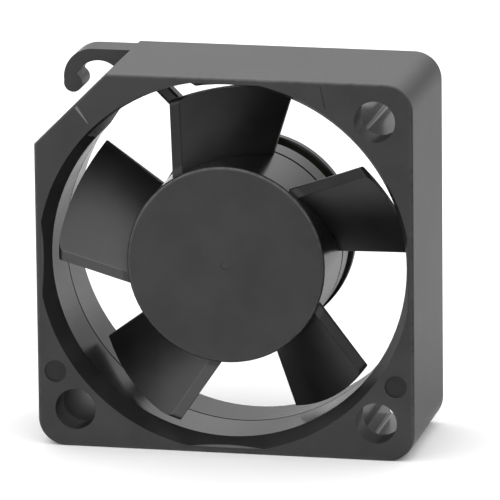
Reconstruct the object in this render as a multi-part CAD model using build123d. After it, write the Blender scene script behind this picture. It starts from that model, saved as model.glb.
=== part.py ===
from build123d import *

import math
import os

# Small axial cooling fan. The shaft runs along Y, the intake faces -Y, the fan stands on its -Z side
# and the origin is the middle of the frame. Depths below are counted from the intake face.

# Frame
frame_width = 25.0
frame_depth = 10.0
corner_radius = 1.8
corner_cut = 4.85
rim_round = 0.15
side_wall = 0.4

# Air duct
mouth_lip = 0.15
throat_wall = 0.75
outlet_wall = 0.45
mouth_depth = 1.5
parting_depth = 5.4
parting_groove = 0.08
relief_radius = 12.2
relief_start = 100.0
relief_end = 137.5

# Screw corners
hole_inset = 2.5
hole_radius = 1.35
flange_thickness = 2.2
pocket_reach = 3.2
pocket_wall = 0.5
pocket_round = 0.25
bore_clearance = 0.05
bore_relief = 0.62
ejector_radius = 0.73
ejector_depth = 0.12
ejector_inset = 1.2
ejector_height = 5.0
insert_line_width = 0.08
insert_line_depth = 0.05
insert_line_gap = 0.39
insert_line_length = 1.43
insert_line_angle = 57.8
insert_line_turn = 44.3

# Motor base and struts
base_thickness = 0.6
base_overhang = 0.2
base_round = 0.15
label_recess_depth = 0.1
label_recess_rim = 0.85
boss_radius = 2.6
boss_height = 0.5
strut_width = 0.93
strut_depth = 0.75
strut_offset = 2.39
strut_angle = 135.0
strut_spacing = 113.5
strut_round = 0.25
channel_width = 0.45
channel_depth = 0.35
exit_width = 1.3
exit_depth = 0.9
exit_drop = 2.4

# Wire hook
hook_radius = 1.95
hook_width = 2.2
hook_margin = 0.2
hook_top_margin = 0.15
hook_opening_radius = 1.6
hook_opening_shift = 0.41
hook_tip_radius = 0.62
hook_tip_drop = 0.38
hook_crook_round = 0.15
hook_seat = 0.3

# Impeller
hub_radius = 6.55
hub_setback = 0.45
hub_face = 0.8
hub_wall = 0.55
hub_round = 0.25
hub_groove = 0.1
hub_groove_width = 0.15
gate_radius = 0.3
gate_depth = 0.05
rotor_gap = 0.45
blade_count = 5
blade_front = 0.95
blade_rear_setback = 2.1
tip_clearance = 0.5
blade_root_angle = 50.2
blade_tip_angle = 37.0
blade_root_thickness = 0.75
blade_tip_thickness = 0.55
blade_camber = 0.35
blade_corner_round = 0.4

# Rotor iron and magnet
yoke_wall = 0.4
yoke_setback = 0.45
yoke_round = 0.25
magnet_thickness = 0.7
magnet_front = 2.2
magnet_setback = 0.5

# Shaft and bearing
shaft_radius = 0.75
shaft_inset = 0.1
insert_neck_radius = 1.3
insert_radius = 1.9
insert_length = 1.05
bearing_clearance = 0.02
tube_radius = 1.9
tube_bore_radius = 1.5
tube_gap = 0.2
tube_inset = 0.15
seal_inset = 0.05
seal_thickness = 0.2
seal_clearance = 0.1
cap_thickness = 0.5
thrust_thickness = 0.25
thrust_play = 0.05
ring_thickness = 0.25
ring_radius = 1.25
ring_play = 0.2
groove_radius = 0.5
groove_play = 0.02
tip_length = 0.3

# Stator
air_gap = 0.3
plate_count = 5
plate_thickness = 0.5
pole_count = 4
pole_width = 1.0
core_ring_share = 0.315
shoe_share = 0.205
shoe_span = 74.0
bobbin_floor = 0.3
bobbin_wall = 0.15
bobbin_fit = 0.05
bobbin_flange = 0.2
flange_width = 2.3
coil_thickness = 0.5
coil_end_gap = 0.1
coil_round = 0.3
lug_width = 0.9
lug_reach = 1.8
pin_radius = 0.2
pin_circle = 3.3
pin_seat = 0.2

# Circuit board
board_thickness = 0.6
board_margin = 0.35
board_fit = 0.05
sensor_size = (1.5, 2.0, 0.75)
driver_size = (1.6, 2.9, 0.8)
capacitor_size = (0.8, 1.6, 0.75)
resistor_size = (0.8, 1.6, 0.45)
lead_size = (0.4, 0.45, 0.15)
chip_circle_share = 0.7
sensor_angle = 90.0
driver_angle = 0.0
capacitor_angle = 180.0
resistor_angle = 225.0
lead_pitch = 0.95

# Places that follow from the sizes above
half_width = frame_width / 2
mouth_radius = half_width - mouth_lip
throat_radius = half_width - throat_wall
outlet_radius = half_width - outlet_wall
tip_radius = throat_radius - tip_clearance
hole_place = half_width - hole_inset

base_front = frame_depth - base_thickness
board_front = base_front - board_thickness
hub_rear = board_front - rotor_gap
blade_rear = hub_rear - blade_rear_setback
cup_floor = hub_setback + hub_face
base_radius = hub_radius + base_overhang
yoke_radius = hub_radius - hub_wall
yoke_bore = yoke_radius - yoke_wall
yoke_floor = cup_floor + yoke_wall
yoke_rear = hub_rear - yoke_setback
magnet_bore = yoke_bore - magnet_thickness
magnet_rear = yoke_rear - magnet_setback

insert_rear = yoke_floor + insert_length
tube_front = insert_rear + tube_gap
tube_rear = frame_depth - tube_inset
cap_front = tube_rear - cap_thickness
thrust_front = cap_front - thrust_thickness
shaft_rear = thrust_front - thrust_play
ring_rear = shaft_rear - tip_length
ring_front = ring_rear - ring_thickness
seal_rear = tube_front + seal_inset + seal_thickness
bearing_front = seal_rear + seal_inset
bearing_rear = ring_front - ring_play

core_middle = (magnet_front + magnet_rear) / 2
core_front = core_middle - plate_count * plate_thickness / 2
core_rear = core_middle + plate_count * plate_thickness / 2
core_radius = magnet_bore - air_gap
core_ring = core_ring_share * (core_radius - tube_radius)
shoe_thickness = shoe_share * (core_radius - tube_radius)
shoe_bore = core_radius - shoe_thickness
ring_outer = tube_radius + core_ring
bobbin_inner = ring_outer + bobbin_flange
bobbin_outer = shoe_bore - bobbin_flange
bobbin_width = pole_width + 2 * bobbin_wall
chip_circle = chip_circle_share * hub_radius


def depth(distance):
    """Y of a plane at this distance behind the intake face."""
    return distance - frame_depth / 2


def prism(sketch, front, rear):
    """A sketch in X and Z, filled between two distances behind the intake face."""
    return extrude(Plane.XZ.offset(-depth(rear)) * sketch, amount=rear - front, dir=(0, -1, 0))


def turned(*corners):
    """A solid of revolution about the shaft, from corners given as (radius, depth)."""
    points = [(radius, depth(distance)) for radius, distance in corners]
    return revolve(make_face(Polyline(*points, close=True)), Axis.Y)


def washer(bore, radius, front, rear):
    """A flat ring or sleeve on the shaft's axis."""
    return turned((bore, front), (radius, front), (radius, rear), (bore, rear))


def disc(radius, front, rear):
    return prism(Circle(radius), front, rear)


def place(radius, angle):
    """A place in a sketch at a radius and angle from the shaft, with its X pointing outwards."""
    return Rot(0, 0, angle) * Pos(radius, 0, 0)


# Frame

def frame_block():
    """The square block with one corner cut off, three rounded, and a softened rim at both ends."""
    outline = Rectangle(frame_width, frame_width)
    cut_corner = outline.vertices().sort_by(lambda v: v.X - v.Y)[0]
    outline = chamfer(cut_corner, corner_cut)
    square_corners = [v for v in outline.vertices() if math.isclose(abs(v.X), abs(v.Y))]
    outline = fillet(square_corners, corner_radius)
    block = prism(outline, 0, frame_depth)
    ends = block.faces().sort_by(Axis.Y)
    return fillet(ends[0].edges() + ends[-1].edges(), rim_round)


def duct_bore():
    """The air path: a flared mouth cut by the side walls, the throat, and a slight opening behind."""
    bore = turned(
        (0, 0),
        (mouth_radius, 0),
        (throat_radius, mouth_depth),
        (throat_radius, parting_depth - parting_groove),
        (throat_radius + parting_groove, parting_depth),
        (throat_radius, parting_depth + parting_groove),
        (outlet_radius, frame_depth),
        (0, frame_depth),
    )
    inner_width = frame_width - 2 * side_wall
    return bore & Box(inner_width, frame_depth, inner_width)


def wire_relief():
    """The stretch of the duct's wall, at the cut-off corner, that is set back beside the wire strut."""
    half = math.radians(relief_end - relief_start) / 2
    reach = frame_width
    wedge = Polygon((0, 0), (reach, -reach * math.tan(half)), (reach, reach * math.tan(half)), align=None)
    stretch = Circle(relief_radius) & (Rot(0, 0, (relief_start + relief_end) / 2) * wedge)
    return prism(stretch, 0, frame_depth)


def corner_pocket():
    """The cored space behind a screw flange, between the duct's wall and the two side walls."""
    edge = half_width - side_wall
    corner = Rectangle(pocket_reach, pocket_reach, align=(Align.MAX, Align.MAX))
    outline = Pos(edge, edge) * corner - Circle(outlet_radius + pocket_wall)
    outer_corner = outline.vertices().sort_by(lambda v: v.X + v.Y)[-1]
    outline = fillet(outer_corner, corner_radius - side_wall)
    ends = [v for v in outline.vertices() if min(v.X, v.Y) < edge - pocket_reach + pocket_round]
    outline = fillet(ends, pocket_round)
    width = 2 * (hole_radius + bore_clearance)
    for size in ((width, width * bore_relief), (width * bore_relief, width)):
        outline += Pos(hole_place, hole_place) * Rectangle(*size)
    return prism(outline, flange_thickness, frame_depth)


def screw_corners():
    """Pockets and screw holes of the three corners that are not cut off."""
    pocket = corner_pocket()
    hole = prism(Pos(hole_place, hole_place) * Circle(hole_radius), 0, flange_thickness)
    cuts = pocket + hole
    return [Rot(0, turn, 0) * cuts for turn in (0, 90, 180)]


def ejector_marks():
    side = half_width - ejector_inset
    height = ejector_height - half_width
    mark = Circle(ejector_radius)
    return [prism(Pos(x, height) * mark, 0, ejector_depth) for x in (-side, side)]


def insert_line():
    """The shallow line that a mould insert leaves across the intake face, beside the mouth."""
    line = Rectangle(insert_line_length, insert_line_width, align=(Align.MIN, Align.CENTER))
    start = place(mouth_radius + insert_line_gap, insert_line_angle)
    return prism(start * Rot(0, 0, insert_line_turn) * line, 0, insert_line_depth)


def strut(angle):
    """A strut that passes the shaft at an offset, from the motor base to the duct's wall."""
    start = math.sqrt(base_radius**2 - strut_offset**2) - base_overhang
    end = outlet_radius + outlet_wall / 2
    bar = Rectangle(end - start, strut_width, align=(Align.MIN, Align.CENTER))
    bar = Rot(0, 0, angle) * Pos(start, -strut_offset) * bar
    front = frame_depth - strut_depth
    solid = prism(bar, front, frame_depth)
    long_edges = solid.faces().sort_by(Axis.Y)[0].edges().sort_by(SortBy.LENGTH)[-2:]
    solid = fillet(long_edges, strut_round)
    return solid & disc(outlet_radius + outlet_wall / 2, front, frame_depth)


def wire_channel():
    """The open groove in the rear of the first strut, where the leads lie."""
    start = base_radius - label_recess_rim
    run = Rectangle(outlet_radius - start, channel_width, align=(Align.MIN, Align.CENTER))
    run = Rot(0, 0, strut_angle) * Pos(start, -strut_offset) * run
    return prism(run, frame_depth - channel_depth, frame_depth)


def wire_exit():
    """The slot through the rear rim, from the first strut's end to the cut-off corner."""
    height = half_width - exit_drop
    inner = math.sqrt(throat_radius**2 - height**2)
    slot = Rectangle(half_width - inner, exit_width, align=(Align.MAX, Align.CENTER))
    return prism(Pos(-inner, height) * slot, frame_depth - exit_depth, frame_depth)


def motor_base():
    disc_face = disc(base_radius, base_front, frame_depth)
    front_rim = disc_face.faces().sort_by(Axis.Y)[0].edges()
    disc_face = fillet(front_rim, base_round)
    boss = disc(boss_radius, base_front - boss_height, base_front)
    return disc_face + boss


def wire_hook():
    """The open hook on the cut-off corner: a bar that curls down and ends in a thicker, round tip."""
    left = hook_margin - half_width
    top = half_width - hook_top_margin
    centre = Vector(left + hook_radius, top - hook_radius)
    bar = Rectangle(half_width, hook_radius, align=(Align.MIN, Align.MIN))
    arm = Pos(centre) * Circle(hook_radius) + Pos(centre) * bar
    tip_height = centre.Y - hook_tip_drop
    above = Rectangle(frame_width, frame_width, align=(Align.CENTER, Align.MIN))
    arm &= Pos(left, tip_height) * above
    arm -= Pos(centre + Vector(hook_opening_shift, -hook_opening_shift)) * Circle(hook_opening_radius)
    arm += Pos(left + hook_tip_radius, tip_height) * Circle(hook_tip_radius)
    cut_face = (half_width - corner_cut / 2) * math.sqrt(2)
    outside = Rectangle(frame_width, frame_width, align=(Align.MIN, Align.CENTER))
    arm &= place(cut_face - hook_seat, 135) * outside
    crook = arm.vertices().sort_by_distance(centre - Vector(hook_radius / 2, 0))[0]
    arm = fillet(crook, hook_crook_round)
    rear = frame_depth - rim_round
    return prism(arm, rear - hook_width, rear)


def make_frame():
    solid = frame_block() - duct_bore() - wire_relief()
    for cut in screw_corners() + ejector_marks() + [insert_line(), wire_exit()]:
        solid -= cut
    for step in (-1, 0, 1):
        solid += strut(strut_angle + step * strut_spacing)
    solid += motor_base()
    solid += wire_hook()
    solid -= disc(base_radius - label_recess_rim, frame_depth - label_recess_depth, frame_depth)
    solid -= disc(tube_radius, base_front - boss_height, frame_depth)
    return solid - wire_channel()


# Impeller

def blade_point(share, radius_angle, thickness, radius, side):
    """A point on the blade's front (side = -1) or rear (side = 1) skin at one radius.

    The share runs from the leading edge, at the front, to the trailing edge, at angle 0."""
    slope = (1 - blade_camber) + 2 * blade_camber * share
    rise = (1 - blade_camber) * share + blade_camber * share**2
    length = blade_rear - blade_front
    sweep = math.radians(radius_angle) * radius
    run = math.hypot(length * slope, sweep)
    half = thickness / 2
    along = sweep * (1 - share) + side * half * length * slope / run
    y = depth(blade_front + length * rise) + side * half * sweep / run
    angle = along / radius
    return Vector(radius * math.cos(angle), y, radius * math.sin(angle))


def blade_section(distance):
    """The blade's outline where its straight lines from root to tip meet one flat plane.

    The plane stands square to the middle of the root, this far from the shaft."""
    middle = math.radians(blade_root_angle / 2)
    normal = Vector(math.cos(middle), 0, math.sin(middle))
    shares = [0.04, 0.28, 0.52, 0.76, 0.96]

    def meet(share, side):
        root = blade_point(share, blade_root_angle, blade_root_thickness, hub_radius, side)
        tip = blade_point(share, blade_tip_angle, blade_tip_thickness, tip_radius, side)
        step = (distance - root.dot(normal)) / (tip - root).dot(normal)
        return root + (tip - root) * step

    front = Spline(*[meet(share, -1) for share in shares])
    rear = Spline(*[meet(share, 1) for share in shares])
    leading = ThreePointArc(front @ 0, meet(0, 0), rear @ 0)
    trailing = ThreePointArc(rear @ 1, meet(1, 0), front @ 1)
    return make_face(front + trailing + rear + leading)


def blade_envelope():
    """The ring that the blades are trimmed to, with rounded corners at their tips."""
    inner = hub_radius - hub_wall / 2
    front = depth(blade_front - blade_tip_thickness)
    rear = depth(blade_rear + blade_tip_thickness)
    width = tip_radius - inner
    outline = Pos(inner, front) * Rectangle(width, rear - front, align=(Align.MIN, Align.MIN))
    return revolve(outline, Axis.Y)


def tip_rounding():
    """The ring outside which the blades' tip corners are cut away round."""
    outline = Pos(0, depth(blade_front)) * Rectangle(
        tip_radius, blade_rear - blade_front, align=(Align.MIN, Align.MIN)
    )
    outer = [v for v in outline.vertices() if v.X > 0]
    return revolve(fillet(outer, blade_corner_round), Axis.Y)


def make_blade():
    near = blade_section(hub_radius * 0.75)
    far = blade_section(tip_radius * 1.1)
    blade = loft([near, far], ruled=True)
    return blade & blade_envelope() & tip_rounding()


def hub_cup():
    groove = blade_rear + hub_groove_width
    cup = turned(
        (0, hub_setback + gate_depth),
        (gate_radius, hub_setback + gate_depth),
        (gate_radius, hub_setback),
        (hub_radius, hub_setback),
        (hub_radius, groove - hub_groove_width),
        (hub_radius - hub_groove, groove),
        (hub_radius, groove + hub_groove_width),
        (hub_radius, hub_rear),
        (yoke_radius, hub_rear),
        (yoke_radius, cup_floor),
        (0, cup_floor),
    )
    outer = [e for e in cup.edges().filter_by(GeomType.CIRCLE) if math.isclose(e.radius, hub_radius)]
    rim = ShapeList(outer).sort_by(Axis.Y)[0]
    return fillet(rim, hub_round)


def make_impeller():
    impeller = hub_cup()
    blade = make_blade()
    for index in range(blade_count):
        impeller += Rot(0, -index * 360 / blade_count, 0) * blade
    return impeller


# Rotor

def make_rotor_yoke():
    cup = turned(
        (insert_neck_radius, cup_floor),
        (yoke_radius, cup_floor),
        (yoke_radius, yoke_rear),
        (yoke_bore, yoke_rear),
        (yoke_bore, yoke_floor),
        (insert_neck_radius, yoke_floor),
    )
    corner = cup.edges().filter_by(GeomType.CIRCLE).sort_by(Axis.Y)[:2].sort_by(SortBy.RADIUS)[-1]
    return fillet(corner, yoke_round)


def make_ring_magnet():
    return washer(magnet_bore, yoke_bore, magnet_front, magnet_rear)


def make_hub_insert():
    return turned(
        (shaft_radius, cup_floor),
        (insert_neck_radius, cup_floor),
        (insert_neck_radius, yoke_floor),
        (insert_radius, yoke_floor),
        (insert_radius, insert_rear),
        (shaft_radius, insert_rear),
    )


def make_shaft():
    """The shaft, with the retaining ring's groove and a domed end on the thrust plate."""
    groove_front = ring_front - groove_play
    groove_rear = ring_rear + groove_play
    sides = Polyline(
        (0, depth(shaft_rear)),
        (0, depth(cup_floor + shaft_inset)),
        (shaft_radius, depth(cup_floor + shaft_inset)),
        (shaft_radius, depth(groove_front)),
        (groove_radius, depth(groove_front)),
        (groove_radius, depth(groove_rear)),
        (shaft_radius, depth(groove_rear)),
    )
    dome = TangentArc((0, depth(shaft_rear)), sides @ 1, tangent=(1, 0))
    return revolve(make_face(sides + dome), Axis.Y)


def make_retaining_ring():
    """A split ring that snaps into the shaft's groove."""
    ring = Circle(ring_radius) - Circle(groove_radius + groove_play)
    split = Rectangle(ring_radius, groove_radius, align=(Align.MIN, Align.CENTER))
    return prism(ring - split, ring_front, ring_rear)


# Bearing

def make_bearing_tube():
    return washer(tube_bore_radius, tube_radius, tube_front, tube_rear)


def make_sleeve_bearing():
    bore = shaft_radius + bearing_clearance
    sleeve = washer(bore, tube_bore_radius, bearing_front, bearing_rear)
    bore_edges = [e for e in sleeve.edges().filter_by(GeomType.CIRCLE) if math.isclose(e.radius, bore)]
    return chamfer(bore_edges, seal_clearance)


def make_oil_seal():
    bore = shaft_radius + seal_clearance
    return washer(bore, tube_bore_radius, seal_rear - seal_thickness, seal_rear)


def make_thrust_plate():
    return disc(tube_bore_radius, thrust_front, cap_front)


def make_end_cap():
    return disc(tube_bore_radius, cap_front, tube_rear)


# Stator

def pole_bar(start, end, width):
    """One bar per pole, from one radius to another."""
    bar = Rectangle(end - start, width, align=(Align.MIN, Align.CENTER))
    return [place(start, index * 360 / pole_count) * bar for index in range(pole_count)]


def pole_shoe():
    """A curved pole face, as wide as its share of the turn."""
    half = math.radians(shoe_span / 2)
    reach = 2 * core_radius
    wedge = Polygon(
        (0, 0),
        (reach * math.cos(half), -reach * math.sin(half)),
        (reach * math.cos(half), reach * math.sin(half)),
        align=None,
    )
    return (Circle(core_radius) - Circle(shoe_bore)) & wedge


def make_stator_core():
    """The stack of stamped plates, each a solid of its own."""
    outline = Circle(ring_outer)
    for bar in pole_bar(tube_radius, core_radius - shoe_thickness / 2, pole_width):
        outline += bar
    for index in range(pole_count):
        outline += Rot(0, 0, index * 360 / pole_count) * pole_shoe()
    outline -= Circle(tube_radius)
    starts = [core_front + index * plate_thickness for index in range(plate_count)]
    return Compound([prism(outline, start, start + plate_thickness).solid() for start in starts])


def bobbin_half(core_side, away, extra):
    """Half of the bobbin: a floor on the core's face, walls beside the poles and coil flanges."""
    floor = Circle(ring_outer + bobbin_wall)
    for bar in pole_bar(tube_radius, shoe_bore, bobbin_width):
        floor += bar
    floor += extra
    floor -= Circle(tube_radius + bobbin_fit)
    walls = Sketch()
    for bar in pole_bar(ring_outer + bobbin_fit, bobbin_outer, bobbin_width):
        walls += bar
    for bar in pole_bar(ring_outer, bobbin_outer + bobbin_flange, pole_width):
        walls -= bar
    flanges = Sketch()
    for start in (bobbin_inner - bobbin_flange, bobbin_outer):
        for bar in pole_bar(start, start + bobbin_flange, flange_width):
            flanges += bar
    floor_end = core_side + away * bobbin_floor
    flange_end = floor_end + away * (coil_thickness + coil_end_gap)

    def layer(sketch, start, end):
        return prism(sketch, min(start, end), max(start, end))

    half = layer(floor, core_side, floor_end)
    half += layer(walls, core_middle, core_side)
    return half + layer(flanges, floor_end, flange_end)


def pin_lugs():
    """Tabs between the coils, which hold the terminal pins."""
    lugs = Sketch()
    for index in range(pole_count):
        angle = (index + 0.5) * 360 / pole_count
        tab = Rectangle(lug_reach, lug_width, align=(Align.MIN, Align.CENTER))
        lugs += place(tube_radius, angle) * tab
    return lugs


def pin_shanks(front, rear):
    shanks = []
    for index in range(pole_count):
        angle = (index + 0.5) * 360 / pole_count
        shanks.append(prism(place(pin_circle, angle) * Circle(pin_radius), front, rear))
    return shanks


def make_upper_insulator():
    return bobbin_half(core_front, -1, Sketch())


def make_lower_insulator():
    half = bobbin_half(core_rear, 1, pin_lugs())
    for shank in pin_shanks(core_rear + bobbin_floor - pin_seat, base_front):
        half -= shank
    return half


def make_terminal_pins():
    shanks = pin_shanks(core_rear + bobbin_floor - pin_seat, base_front)
    return Compound([shank.solid() for shank in shanks])


def make_coil():
    """The winding on the pole that points along +X."""
    inner_height = core_rear - core_front + 2 * bobbin_floor
    outer_height = inner_height + 2 * coil_thickness
    length = bobbin_outer - bobbin_inner
    block = Box(length, outer_height, bobbin_width + 2 * coil_thickness)
    block = fillet(block.edges().filter_by(Axis.X), coil_round)
    block -= Box(length, inner_height, bobbin_width)
    middle = (bobbin_inner + bobbin_outer) / 2
    return Pos(middle, depth(core_middle), 0) * block


# Circuit board and what is soldered to it

def make_circuit_board():
    board = Circle(hub_radius - board_margin) - Circle(boss_radius + board_fit)
    for index in range(pole_count):
        board -= place(pin_circle, (index + 0.5) * 360 / pole_count) * Circle(pin_radius)
    return prism(board, board_front, base_front)


def chip(size, radius, angle, lead_rows):
    """A small chip on the board: its moulded body, and a row of feet at each of two sides."""
    width, length, height = size
    body = prism(place(radius, angle) * Rectangle(width, length), board_front - height, board_front)
    top = body.faces().sort_by(Axis.Y)[0]
    body = chamfer(top.edges(), lead_size[2] / 2)
    foot_width, foot_reach, foot_height = lead_size
    for side, count in lead_rows:
        for index in range(count):
            shift = (index - (count - 1) / 2) * lead_pitch
            foot = Pos(side * width / 2, shift) * Rectangle(2 * foot_reach, foot_width)
            body += prism(place(radius, angle) * foot, board_front - foot_height, board_front)
    return body


def make_hall_sensor():
    return chip(sensor_size, chip_circle, sensor_angle, [(-1, 1), (1, 2)])


def make_driver_chip():
    return chip(driver_size, chip_circle, driver_angle, [(-1, 3), (1, 3)])


def make_capacitor():
    return chip(capacitor_size, chip_circle, capacitor_angle, [])


def make_resistor():
    return chip(resistor_size, chip_circle, resistor_angle, [])


def make_parts():
    parts = {
        "frame": make_frame(),
        "impeller": make_impeller(),
        "rotor_yoke": make_rotor_yoke(),
        "ring_magnet": make_ring_magnet(),
        "hub_insert": make_hub_insert(),
        "shaft": make_shaft(),
        "retaining_ring": make_retaining_ring(),
        "bearing_tube": make_bearing_tube(),
        "sleeve_bearing": make_sleeve_bearing(),
        "oil_seal": make_oil_seal(),
        "thrust_plate": make_thrust_plate(),
        "end_cap": make_end_cap(),
        "stator_core": make_stator_core(),
        "upper_insulator": make_upper_insulator(),
        "lower_insulator": make_lower_insulator(),
        "terminal_pins": make_terminal_pins(),
        "circuit_board": make_circuit_board(),
        "hall_sensor": make_hall_sensor(),
        "driver_chip": make_driver_chip(),
        "capacitor": make_capacitor(),
        "resistor": make_resistor(),
    }
    coil = make_coil()
    for index in range(pole_count):
        parts[f"coil_{index + 1}"] = Rot(0, -index * 360 / pole_count, 0) * coil
    return parts


def main():
    os.makedirs("parts", exist_ok=True)
    for name, shape in make_parts().items():
        export_step(shape, f"parts/{name}.step")


main()
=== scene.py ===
import math

import bmesh
import bpy
from bpy.props import FloatProperty, FloatVectorProperty, IntProperty, PointerProperty
from mathutils import Matrix, Vector


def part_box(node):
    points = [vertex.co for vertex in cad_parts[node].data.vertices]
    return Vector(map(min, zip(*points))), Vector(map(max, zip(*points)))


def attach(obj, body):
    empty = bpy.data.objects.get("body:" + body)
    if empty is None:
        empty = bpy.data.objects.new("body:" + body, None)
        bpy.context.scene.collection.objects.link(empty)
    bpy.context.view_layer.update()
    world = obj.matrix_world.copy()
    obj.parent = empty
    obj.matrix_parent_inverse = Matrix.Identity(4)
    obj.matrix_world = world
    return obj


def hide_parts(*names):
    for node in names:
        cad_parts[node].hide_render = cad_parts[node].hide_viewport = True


bl_info = {
    "name": "Small axial fan",
    "version": (1, 0, 0),
    "blender": (4, 5, 0),
    "location": "3D View > Sidebar > Fan",
    "description": "Finishes, windings, solder and studio for a small axial cooling fan",
    "category": "Object",
}

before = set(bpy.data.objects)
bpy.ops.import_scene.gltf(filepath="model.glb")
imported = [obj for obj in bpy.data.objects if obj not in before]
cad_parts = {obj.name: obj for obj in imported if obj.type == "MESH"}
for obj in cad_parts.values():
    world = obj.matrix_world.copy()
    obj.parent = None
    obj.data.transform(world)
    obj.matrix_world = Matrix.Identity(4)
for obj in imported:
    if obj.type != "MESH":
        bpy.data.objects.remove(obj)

MM = 0.001
POLE_COUNT = 4
PIN_COUNT = 4

# Places in a node's box: its two corners, and their three parts
LOW, HIGH = 0, 1
X, Y, Z = 0, 1, 2

# Sizes that the finishes follow, in millimetres. X runs to the right, Y from front to back, and Z up.
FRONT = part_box("frame")[LOW][Y] / MM
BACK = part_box("frame")[HIGH][Y] / MM
HALF_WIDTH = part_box("frame")[HIGH][X] / MM
CORNER_RADIUS = 1.8
FLANGE_THICKNESS = 2.2
HUB_WALL = 0.55
HUB_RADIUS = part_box("rotor_yoke")[HIGH][X] / MM + HUB_WALL
HUB_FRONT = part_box("impeller")[LOW][Y] / MM
BOARD_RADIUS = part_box("circuit_board")[HIGH][X] / MM
BOARD_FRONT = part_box("circuit_board")[LOW][Y] / MM
CAPACITOR_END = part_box("capacitor")[HIGH][Z] / MM

# Places on the frame. A pair gives the two values between which a finish fades in or out.
MIDDLE = (-1.0, 1.0)
BEHIND_FACE = (FRONT + 0.01, FRONT + 0.04)
THROAT_FRONT = (FRONT + 1.3, FRONT + 1.6)
DUCT_WALL = (HALF_WIDTH - 1.0, HALF_WIDTH - 0.8)
DUCT_OUTSIDE = (HALF_WIDTH - 0.1, HALF_WIDTH)
MOUTH_POLISH = 0.25
PARTING_PLACE = 0.4
PARTING_WIDTH = 0.22
PARTING_OUTSIDE = (HALF_WIDTH - 0.4, HALF_WIDTH - 0.3)
RIM_PLACE = BACK - 0.03
RIM_WIDTH = 0.12
RIM_OUTSIDE = (HALF_WIDTH - 0.3, HALF_WIDTH - 0.05)
POCKET_SIDES = (HALF_WIDTH - 4.05, HALF_WIDTH - 3.95)
POCKET_WALL = (HALF_WIDTH - 0.3, HALF_WIDTH - 0.2)
POCKET_FRONT = (FRONT + FLANGE_THICKNESS - 0.01, FRONT + FLANGE_THICKNESS + 0.01)
POCKET_BACK = (BACK - 0.15, BACK - 0.05)
CORNER_PLACE = HALF_WIDTH - CORNER_RADIUS
CORNER_ROUND = (CORNER_RADIUS - 0.3, CORNER_RADIUS - 0.2)
EJECTOR_SIDE = HALF_WIDTH - 1.2
EJECTOR_HEIGHT = 5.0 - HALF_WIDTH
EJECTOR_ROUND = (0.67, 0.75)
EJECTOR_BACK = (FRONT + 0.2, FRONT + 0.3)
SCUFF_START = (2.85 - HALF_WIDTH, HALF_WIDTH - 2.27)
SCUFF_END = (3.64 - HALF_WIDTH, HALF_WIDTH - 3.35)
SCUFF_FRONT = (FRONT + 0.01, FRONT + 0.03)
SCUFF_WIDTH = 0.11
SCUFF_TAPER = 1.3
SCUFF_CORE = 0.4
SCUFF_STARTS = (-0.05, 0.05)
SCUFF_ENDS = (0.95, 1.05)

# Places on the impeller
HUB_SIDE = (HUB_RADIUS - 0.05, HUB_RADIUS - 0.03)
HUB_OUTSIDE = (HUB_RADIUS + 0.02, HUB_RADIUS + 0.05)
HUB_SIDE_FRONT = (HUB_FRONT + 0.15, HUB_FRONT + 0.3)
HUB_RIM_PLACE = HUB_RADIUS - 0.1
HUB_RIM_WIDTH = 0.14
HUB_RIM_BACK = (HUB_FRONT + 0.05, HUB_FRONT + 0.35)
GATE_ROUND = (0.15, 0.34)
GATE_BACK = (HUB_FRONT - 0.05, HUB_FRONT + 0.15)
BLADE_ROOT = (HUB_RADIUS + 0.35, HUB_RADIUS + 0.55)
BLADE_FRONT = (HUB_FRONT + 0.52, HUB_FRONT + 0.57)
LOWER_LEFT = (-0.8, -0.6)
LOWER_LEFT_SHARE = (0.3, 0.4)
# Share of the pale colour that paints light on two blades' front edges
EDGE_PAINTED_LIGHT = 0.25

# Places on the board
BOARD_EDGE = (BOARD_RADIUS - 0.1, BOARD_RADIUS - 0.04)
TRACK_DENSITY = 9.0
TRACK_WAVES = 8.0
TRACK_SWING = 0.8
POUR_COUNT = 4.0
POUR_TURN = 0.6
CHIP_FEET = (BOARD_FRONT - 0.17, BOARD_FRONT - 0.15)
END_CAPS = (CAPACITOR_END - 0.22, CAPACITOR_END - 0.18)

# Places on the floor in millimetres, and how pale it looks there in the fan's surfaces: painted light
# and a painted shadow
FLOOR_LEFT = (-70.0, 60.0)
FLOOR_BEHIND = (-5.0, 40.0)
FLOOR_SPOT = (4.0, -10.0)
FLOOR_SPOT_SQUARED = (40.0, 500.0)
SHADE_PLACE = -3.0
SHADE_SIDES = (5.0, 16.0)
SHADE_FRONT = (4.0, 10.0)
GLOW_ANYWHERE = 0.6
GLOW_LEFT = 1.1
GLOW_BEHIND = 0.35
GLOW_SPOT = 0.7
GLOW_SHADED = 0.5

# Directions in the surround: parts of a unit vector
CEILING = (-0.1, 0.9)
REAR_WALL = (0.7, 0.96)
REAR_WALL_TOP = (0.2, 0.5)

# Colours
WHITE = (1.0, 1.0, 1.0)
DUST = (0.16, 0.16, 0.155)
RUBBED = (0.075, 0.075, 0.075)
FERRITE_DARK = (0.018, 0.018, 0.02)
FERRITE_PALE = (0.04, 0.04, 0.042)
FERRITE_GRAIN = (0.18, 0.18, 0.19)
EPOXY_DARK = (0.012, 0.012, 0.013)
EPOXY_PALE = (0.028, 0.028, 0.029)
LAMINATE = (0.32, 0.28, 0.13)
TINNED_FEET = (0.62, 0.61, 0.58)
TINNED = (0.66, 0.65, 0.62)
SOLDER = (0.60, 0.60, 0.62)
NYLON = (0.72, 0.70, 0.62)
BOBBIN = (0.62, 0.60, 0.54)
CERAMIC = (0.42, 0.26, 0.12)
FILM = (0.02, 0.02, 0.022)
PLATE_SHADE = 0.55

# Shape of the wire and the solder
CORNER_SEGMENTS = 3
TURN_ROUNDING = 0.001
SOLDER_STEPS = 28
SOLDER_HOLLOW = 2.4

# Floor and camera
FLOOR_CELLS = 8
SENSOR_WIDTH = 36.0
CLIP_START = 0.01
CLIP_END = 50.0


# Material tools

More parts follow.
